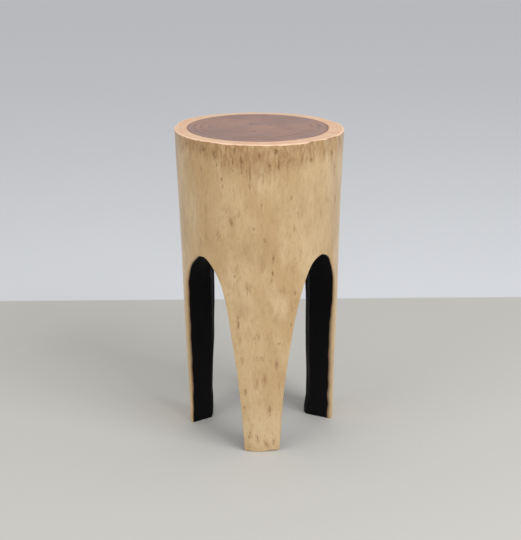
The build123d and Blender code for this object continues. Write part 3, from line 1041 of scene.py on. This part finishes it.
def build_sapwood(carving, materials):
    """The pale outer zone of the log: bark side, outer part of the legs and outer ring of the top."""
    shape = Shape()

    def under_rim(bearing):
        """Height of the bark side's upper end, where the rim with its painted highlight begins."""
        return TABLE_HEIGHT - rim_ease_at(bearing, carving.sizes)

    for leg in range(4):
        strips = []
        for right in (False, True):
            grid = []
            for row in range(carving.rows):
                hidden, edge = sapwood_strip(carving, leg, right, row)
                line = [shape.point(carving.settle(p, leg)) for p in hidden]
                for i, p in enumerate(edge):
                    pale = 1.0 - i / EDGE_COLUMNS
                    line.append(shape.point(carving.settle(p, leg), edge=pale, scorch=SCORCH[i]))
                grid.append(line)
            shape.sheet(grid, 0)
            strips.append(grid)

        def on_bark(row):
            """Insets of the leg's two cuts by the width of their pale edges."""
            return tuple(carving.pale_widths(leg, right, row)[0] for right in (False, True))

        places = carving.leg_grid(leg, carving.bark, on_bark, LEG_COLUMNS)
        places += rise(places[-1], under_rim, UPPER_ROWS, UPPER_GATHER)
        bark = []
        for line in places:
            points = []
            for bearing, height in line:
                co = on_bearing(bearing, carving.bark(bearing, height), height)
                points.append(shape.point(carving.settle(co, leg), **bark_paint(bearing, height)))
            bark.append(points)
        shape.sheet(bark, 0)
        heart = carving.leg_grid(leg, heart_radius, in_the_wood, HEART_COLUMNS)
        heart += rise(heart[-1], lambda bearing: TABLE_HEIGHT, INNER_ROWS)
        inner = []
        for line in heart:
            points = [carving.settle(on_bearing(b, heart_radius(b, h), h), leg) for b, h in line]
            inner.append([shape.point(p, ring=1.0) for p in points])
        shape.sheet(inner, 0)
        # the sawn end of the foot
        foot = strips[0][0] + bark[0][1:-1] + strips[1][0][::-1] + inner[0][1:-1][::-1]
        shape.face(foot, 1)
        build_rim(shape, carving, places[-1], bark[-1], inner[-1])
    return shape.finish("sapwood", materials, ["sapwood_shell"])


def build_rim(shape, carving, places, bark, inner):
    """Eased rim, painted pale as a highlight, and the sapwood ring of the top, over one quarter."""
    steps = 4
    rings = 7
    columns = []
    for i, (bearing, height) in enumerate(places):
        drop = TABLE_HEIGHT - height
        radius = carving.bark(bearing, height)
        side = on_bearing(bearing, radius, height)
        corner = on_bearing(bearing, radius, TABLE_HEIGHT)
        flat_radius = radius - drop * RIM_REACH
        flat = on_bearing(bearing, flat_radius, TABLE_HEIGHT)
        inward = heart_radius(bearing, TABLE_HEIGHT)
        column = [bark[i]]
        # the edge paint on the rounded rim gives it a painted highlight
        column += [shape.point(p, ring=1.2, edge=1.0) for p in rounded(side, corner, flat, steps)[1:]]
        for k in range(1, rings):
            on_top = on_bearing(bearing, mix(flat_radius, inward, k / rings), TABLE_HEIGHT)
            column.append(shape.point(on_top, ring=1.2 - 0.2 * k / rings))
        columns.append(column)
    for a, b in zip(columns, columns[1:]):
        for k in range(len(a) - 1):
            shape.face([a[k], b[k], b[k + 1], a[k + 1]], 1)
    # two columns of the sapwood meet each one of the heartwood
    for j in range(len(inner) - 1):
        first, second, third = (columns[2 * j + k][-1] for k in range(3))
        shape.face([first, second, third, inner[j + 1], inner[j]], 1)


def quarter_bearings(leg, carving, columns):
    """Even bearings from the arch on one side of a leg to the arch on the other."""
    low, high = carving.centre(leg, False), carving.centre(leg, True)
    return [mix(low, high, i / columns) for i in range(columns + 1)]


def build_heartwood_disc(carving, materials):
    """The dark disc of the top, over the hollow's ceiling."""
    shape = Shape()
    bottom = CEILING_HEIGHT + STAIN_SKIN
    border = []
    for leg in range(4):
        border += quarter_bearings(leg, carving, HEART_COLUMNS)[:-1]
    rim = [on_bearing(b, heart_radius(b, TABLE_HEIGHT), TABLE_HEIGHT) for b in border]
    pith = Vector((*PITH, TABLE_HEIGHT))
    rings = []
    for k in range(1, DISC_RINGS + 1):
        t = k / DISC_RINGS
        rings.append([shape.point(pith + (p - pith) * t, ring=t) for p in rim])
    middle = shape.point(pith, ring=0.0)
    for i in range(len(rim)):
        shape.face([middle, rings[0][i - 1], rings[0][i]], 0)
        for low, high in zip(rings, rings[1:]):
            shape.face([low[i - 1], high[i - 1], high[i], low[i]], 0)
    side = [rings[-1]]
    for k in range(1, DISC_ROWS + 1):
        height = mix(TABLE_HEIGHT, bottom, k / DISC_ROWS)
        side.append([shape.point(on_bearing(b, heart_radius(b, height), height), ring=1.0) for b in border])
    for low, high in zip(side, side[1:]):
        for i in range(len(border)):
            shape.face([low[i - 1], low[i], high[i], high[i - 1]], 1)
    shape.face(side[-1], 1)
    return shape.finish("heartwood_top_disc", materials, ["heartwood_top"])


def wood_bore(bearing, height):
    """Bore of the bare wood, under the stain, with its rounding into the ceiling."""
    radius = bore_radius(bearing, height) + STAIN_SKIN
    above = height - (CEILING_HEIGHT - CEILING_ROUNDING)
    if above > 0:
        rounding = CEILING_ROUNDING + STAIN_SKIN
        radius -= rounding - sqrt(max(rounding ** 2 - above ** 2, 0.0))
    return radius


def build_heartwood_wall(carving, materials):
    """The dark inner side of the wall and legs, bare wood under the stain."""
    shape = Shape()
    top = CEILING_HEIGHT + STAIN_SKIN
    for leg in range(4):
        outer_places = carving.leg_grid(leg, heart_radius, in_the_wood, HEART_COLUMNS)
        outer_places += rise(outer_places[-1], lambda bearing: top, INNER_ROWS)
        outer = [[shape.point(carving.settle(on_bearing(b, heart_radius(b, h), h), leg)) for b, h in line]
                 for line in outer_places]
        bore_places = carving.leg_grid(leg, wood_bore, in_the_wood, HEART_COLUMNS)
        bore_places += rise(bore_places[-1], lambda bearing: top, INNER_ROWS, BORE_GATHER)
        bore = [[shape.point(carving.settle(on_bearing(b, wood_bore(b, h), h), leg)) for b, h in line]
                for line in bore_places]
        shape.sheet(outer, 0)
        shape.sheet(bore, 0)
        shape.sheet([outer[-1], bore[-1]], 0)
        feet = []
        for right in (False, True):
            grid = []
            for row in range(carving.rows):
                r0 = carving.cut(leg, right, row, heart_radius, STAIN_SKIN)[1]
                r1 = carving.cut(leg, right, row, wood_bore, STAIN_SKIN)[1]
                face = carving.carved_face(leg, right, row, r0, r1, STAIN_SKIN, HIDDEN_HEARTWOOD_COLUMNS)
                grid.append([shape.point(carving.settle(p, leg)) for p in face])
            shape.sheet(grid, 0)
            feet.append(grid[0])
        shape.face(feet[0][::-1] + outer[0][1:-1] + feet[1] + bore[0][1:-1][::-1], 0)
    return shape.finish("heartwood_wall_and_legs", materials, ["heartwood_wall"])


def stained_strip(carving, leg, right, row):
    """Points over a carved face, from the pale edge inward and round into the bore."""
    black, _, _, radius = carving.bark_corner(leg, right, row)
    bearing, inner, height = carving.cut(leg, right, row, bore_radius, 0.0)
    face = carving.carved_face(leg, right, row, radius, inner + BORE_CORNER, 0.0, FACE_COLUMNS)
    face[0] = black
    end = on_bearing(*carving.cut(leg, right, row, bore_radius, BORE_CORNER))
    return face[:-1] + rounded(face[-1], on_bearing(bearing, inner, height), end, CORNER_STEPS)


def build_arch_stain(carving, index, materials):
    """The black skin of one arch, from one foot over the crown to the next."""
    shape = Shape()
    grid = []
    last = carving.rows - 1
    path = [(index - 1, True, row) for row in range(carving.rows)]
    path += [(index, False, row) for row in range(last - 1, -1, -1)]
    for leg, right, row in path:
        leg = leg % 4
        points = stained_strip(carving, leg, right, row)
        grid.append([shape.point(carving.settle(p, leg)) for p in points])
    shape.sheet(grid, 0)
    arch = ARCHES[index]
    shape.thicken(STAIN_SKIN, on_bearing(arch["bearing"], 100, 120))
    name = arch["name"]
    return shape.finish("stained_arch_" + name, materials, ["arch_lining_" + name])


def build_hollow_stain(carving, materials):
    """The black skin of the bore and its ceiling."""
    shape = Shape()
    level = CEILING_HEIGHT - CEILING_ROUNDING
    for leg in range(4):
        places = carving.leg_grid(leg, bore_radius, lambda row: (BORE_CORNER, BORE_CORNER), BORE_COLUMNS)
        places += rise(places[-1], lambda bearing: level, BORE_ROWS)
        grid = [[shape.point(carving.settle(on_bearing(b, bore_radius(b, h), h), leg)) for b, h in line]
                for line in places]
        bearings = [bearing for bearing, _ in places[-1]]
        # the rounding under the ceiling
        for k in range(1, CEILING_STEPS + 1):
            turn = k / CEILING_STEPS * pi / 2
            height = level + CEILING_ROUNDING * sin(turn)
            inward = CEILING_ROUNDING * (1 - cos(turn))
            points = [on_bearing(b, bore_radius(b, level) - inward, height) for b in bearings]
            grid.append([shape.point(p) for p in points])
        # the gouged ceiling, in to its middle
        for k in range(1, CEILING_RINGS + 1):
            share = 1 - k / CEILING_RINGS
            line = []
            for b in bearings:
                radius = (bore_radius(b, level) - CEILING_ROUNDING) * share
                x, y = radius * sin(radians(b)), radius * cos(radians(b))
                gouged = 0.8 * swell(x, y, 0, 18, 3.0) * ease(share, 0, 0.2)
                height = CEILING_HEIGHT - abs(gouged) * (1 - ease(share, 0.9, 1.0))
                line.append(shape.point(on_bearing(b, radius, height)))
            grid.append(line)
        shape.sheet(grid, 0)
    shape.thicken(STAIN_SKIN, Vector((0, 0, CEILING_HEIGHT / 2)))
    return shape.finish("stained_hollow", materials, ["hollow_lining"])


# Pin knots: bearing, height, radius of the knot with the swirl of grain round it
PIN_KNOTS = [
    (-4.1, 375, 3.4), (-17.7, 298, 3.2), (12.7, 188, 3.3), (96.0, 402, 3.4), (171.0, 344, 3.8),
    (-118.0, 431, 3.2),
]

# A knot is a little higher than wide; its depth, and the radius of the log where the knots sit
KNOT_WIDTH = 0.85
KNOT_HEIGHT = 1.15
KNOT_DEPTH = 4.0
KNOTTED_RADIUS = 128


def knot_lift(t):
    """Height of a knot over the bark side: a raised eye and lip, and an edge sunk in the wood."""
    lip = 0.32 * (1 - ease(abs(t - 0.55), 0.0, 0.3))
    eye = 0.25 * (1 - ease(t, 0.0, 0.3))
    return lip + eye - 0.3 * ease(t, 0.85, 1.0)


def build_knots(carving, materials):
    """Pin knots in the bark side: a raised lip, a groove and an eye."""
    shape = Shape()
    spokes = 28
    rings = 9
    for bearing, height, radius in PIN_KNOTS:
        wobble = bearing * 0.1
        grid = []
        for k in range(rings + 1):
            t = k / rings
            line = []
            for i in range(spokes):
                turn = 2 * pi * i / spokes
                reach = radius * t * (1 + 0.12 * sin(2 * turn + wobble) + 0.06 * sin(5 * turn + wobble))
                b = bearing + degrees(reach * cos(turn) * KNOT_WIDTH / KNOTTED_RADIUS)
                h = height + reach * sin(turn) * KNOT_HEIGHT
                place = on_bearing(b, carving.bark(b, h) + knot_lift(t), h)
                line.append(shape.point(place, ring=t, **bark_paint(b, h)))
            grid.append(line)
        back = shape.point(on_bearing(bearing, carving.bark(bearing, height) - KNOT_DEPTH, height), ring=1.0)
        for low, high in zip(grid, grid[1:]):
            for i in range(spokes):
                shape.face([low[i - 1], low[i], high[i], high[i - 1]], 0)
        for i in range(spokes):
            shape.face([grid[-1][i - 1], grid[-1][i], back], 0)
    return shape.finish("pin_knots_of_bark_side", materials, ["pin_knots"])


# Filled checks: middle, then the line of the crack from it as x, y and half width
CHECKS = [
    (PITH, [(-4.6, 4.8, 0.3), (-2.4, 2.0, 1.3), (0.0, 0.0, 2.1), (1.8, 0.4, 1.3), (4.2, 1.6, 0.3)]),
    ((-8.3, -33.2), [(-4.0, 0.3, 0.3), (-1.6, -0.2, 1.2), (0.8, 0.2, 1.4), (4.2, 0.0, 0.3)]),
]
CHECK_DEPTH = 2.6
FILLER_PROUD = 0.06


def build_fillers(materials):
    """Dark filler in the two checks of the top, a hair proud of the sanding."""
    shape = Shape()
    for (mx, my), line in CHECKS:
        levels = []
        for height in (TABLE_HEIGHT + FILLER_PROUD, TABLE_HEIGHT - CHECK_DEPTH):
            edge = [(x, y + w) for x, y, w in line] + [(x, y - w) for x, y, w in reversed(line)]
            levels.append([shape.point(Vector((mx + x, my + y, height))) for x, y in edge])
        top, bottom = levels
        for level in levels:
            for i in range(len(line) - 1):
                shape.face([level[i], level[i + 1], level[-2 - i], level[-1 - i]], 0)
        for i in range(len(top)):
            shape.face([top[i - 1], top[i], bottom[i], bottom[i - 1]], 0)
    return shape.finish("filled_checks", materials, ["check_fillers"])


# ---------------------------------------------------------------------------------------------
# Operators, panel and stage
# ---------------------------------------------------------------------------------------------

def settings_of(context):
    """The sizes and the colours that the user may have changed."""
    return context.scene.log_table_sizes, context.scene.log_table_colours


class LOGTABLE_OT_sapwood(bpy.types.Operator):
    """Carve the sapwood of the log"""

    bl_idname = "log_table.sapwood"
    bl_label = "Sapwood"

    def execute(self, context):
        sizes, colours = settings_of(context)
        build_sapwood(Carving(sizes), [sapwood_material(colours), end_sapwood_material(colours)])
        return {"FINISHED"}


class LOGTABLE_OT_heartwood(bpy.types.Operator):
    """Carve the heartwood disc of the top and the heartwood of the wall and legs"""

    bl_idname = "log_table.heartwood"
    bl_label = "Heartwood"

    def execute(self, context):
        sizes, colours = settings_of(context)
        carving = Carving(sizes)
        bare = inner_wood_material(colours)
        build_heartwood_disc(carving, [heartwood_material(colours), bare])
        build_heartwood_wall(carving, [bare])
        return {"FINISHED"}


class LOGTABLE_OT_black_stain(bpy.types.Operator):
    """Stain the hollow and the faces of the four arches black"""

    bl_idname = "log_table.black_stain"
    bl_label = "Black Stain"

    def execute(self, context):
        sizes, colours = settings_of(context)
        carving = Carving(sizes)
        stain = stain_material(colours)
        build_hollow_stain(carving, [stain])
        for index in range(len(ARCHES)):
            build_arch_stain(carving, index, [stain])
        return {"FINISHED"}


class LOGTABLE_OT_details(bpy.types.Operator):
    bl_idname = "log_table.details"
    bl_label = "Knots and Fillers"

    def execute(self, context):
        sizes, colours = settings_of(context)
        build_knots(Carving(sizes), [knot_material(colours)])
        build_fillers([filler_material(colours)])
        return {"FINISHED"}


# Camera: its place, how far it looks down and leans in degrees, its lens and the height of its film
CAMERA_PLACE = (0.1, -1576.1, 807.8)
CAMERA_PITCH = 18.94
CAMERA_ROLL = -0.45
LENS = 68.19
FILM_HEIGHT = 36.0

# Floor: its length and width, and the soft line behind the table where its cooler tone begins
FLOOR_SIZE = 40000.0
WALL_DISTANCE = 577.0
WALL_SOFTNESS = 6.0

# Overcast sky, and three large square lamps: name, place, target, size, power and colour
SKY_COLOUR = "#F6F5F4"
SKY_STRENGTH = 0.72
LAMPS = [
    ("key_right", (1500, -1400, 2100), (0, 0, 260), 1500, 39, (0.965, 0.97, 0.98)),
    ("fill_left", (-1700, -1300, 1500), (0, 0, 260), 1500, 11, (1.0, 0.99, 0.97)),
    ("fill_front", (100, -3200, 950), (0, 0, 60), 1100, 19, (1.0, 0.99, 0.98)),
]


def floor_material(colours):
    """Plain matt paint: one pale tone, and a slightly cooler one beyond a soft line behind the table."""
    paint = Finish("matt_floor_paint", 0.9, 0.2)
    depth = paint.add_node("ShaderNodeSeparateXYZ", {0: paint.place}).outputs["Y"]
    begins = (WALL_DISTANCE - WALL_SOFTNESS) * MM
    ends = (WALL_DISTANCE + WALL_SOFTNESS) * MM
    return paint.finished({
        "Base Color": paint.lay(opaque(colours.floor), opaque(colours.wall), (depth, begins, ends))})


def build_floor(colours):
    """A plain floor that reaches far past the view on every side."""
    shape = bmesh.new()
    half = FLOOR_SIZE / 2
    corners = ((-half, -half), (half, -half), (half, half), (-half, half))
    shape.faces.new([shape.verts.new(Vector((x, y, 0)) * MM) for x, y in corners])
    mesh = bpy.data.meshes.new("floor")
    shape.to_mesh(mesh)
    shape.free()
    mesh.materials.append(floor_material(colours))
    made = bpy.data.objects.new("floor", mesh)
    bpy.context.scene.collection.objects.link(made)


def hang_lamp(name, place, target, size, power, colour):
    """A large square lamp aimed at a point."""
    data = bpy.data.lights.new(name, "AREA")
    data.size = size * MM
    data.energy = power
    data.color = colour
    lamp = bpy.data.objects.new(name, data)
    lamp.location = Vector(place) * MM
    lamp.rotation_euler = (Vector(target) - Vector(place)).to_track_quat("-Z", "Y").to_euler()
    bpy.context.scene.collection.objects.link(lamp)


def hang_sky(scene):
    """An even overcast sky."""
    world = bpy.data.worlds.new("overcast_sky")
    world.use_nodes = True
    sky = world.node_tree.nodes["Background"]
    sky.inputs["Color"].default_value = opaque(linear_colour(SKY_COLOUR))
    sky.inputs["Strength"].default_value = SKY_STRENGTH
    scene.world = world


def set_up_camera(scene):
    """The camera, a little over the top of the table and in front of it."""
    data = bpy.data.cameras.new("camera")
    data.lens = LENS
    data.sensor_fit = "VERTICAL"
    data.sensor_height = FILM_HEIGHT
    camera = bpy.data.objects.new("camera", data)
    camera.location = Vector(CAMERA_PLACE) * MM
    pitch = Matrix.Rotation(radians(90 - CAMERA_PITCH), 3, "X")
    roll = Matrix.Rotation(radians(CAMERA_ROLL), 3, "Z")
    camera.rotation_euler = (pitch @ roll).to_euler()
    scene.collection.objects.link(camera)
    scene.camera = camera


class LOGTABLE_OT_stage(bpy.types.Operator):
    """Set up the floor, the sky, the lamps and the camera"""

    bl_idname = "log_table.stage"
    bl_label = "Stage"

    def execute(self, context):
        _, colours = settings_of(context)
        build_floor(colours)
        hang_sky(context.scene)
        for lamp in LAMPS:
            hang_lamp(*lamp)
        set_up_camera(context.scene)
        context.scene.view_settings.view_transform = "Standard"
        return {"FINISHED"}


class LOGTABLE_PT_panel(bpy.types.Panel):
    """Sizes, colours and steps of the log table"""

    bl_idname = "LOGTABLE_PT_panel"
    bl_label = "Log Table"
    bl_space_type = "VIEW_3D"
    bl_region_type = "UI"
    bl_category = "Log Table"

    def draw(self, context):
        layout = self.layout
        for group in settings_of(context):
            box = layout.box()
            for name in group.__annotations__:
                box.prop(group, name)
        for operator in OPERATORS:
            layout.operator(operator.bl_idname)


OPERATORS = (LOGTABLE_OT_sapwood, LOGTABLE_OT_heartwood, LOGTABLE_OT_black_stain, LOGTABLE_OT_details,
             LOGTABLE_OT_stage)
CLASSES = (LogTableSizes, LogTableColours, *OPERATORS, LOGTABLE_PT_panel)


def register():
    """Registers the classes and gives the scene its sizes and colours."""
    for cls in CLASSES:
        bpy.utils.register_class(cls)
    bpy.types.Scene.log_table_sizes = PointerProperty(type=LogTableSizes)
    bpy.types.Scene.log_table_colours = PointerProperty(type=LogTableColours)


def unregister():
    """Takes the sizes, the colours and the classes away again."""
    del bpy.types.Scene.log_table_colours
    del bpy.types.Scene.log_table_sizes
    for cls in reversed(CLASSES):
        bpy.utils.unregister_class(cls)


def main():
    """Builds the table and its stage."""
    register()
    bpy.ops.log_table.sapwood()
    bpy.ops.log_table.heartwood()
    bpy.ops.log_table.black_stain()
    bpy.ops.log_table.details()
    bpy.ops.log_table.stage()


if __name__ == "__main__":
    main()
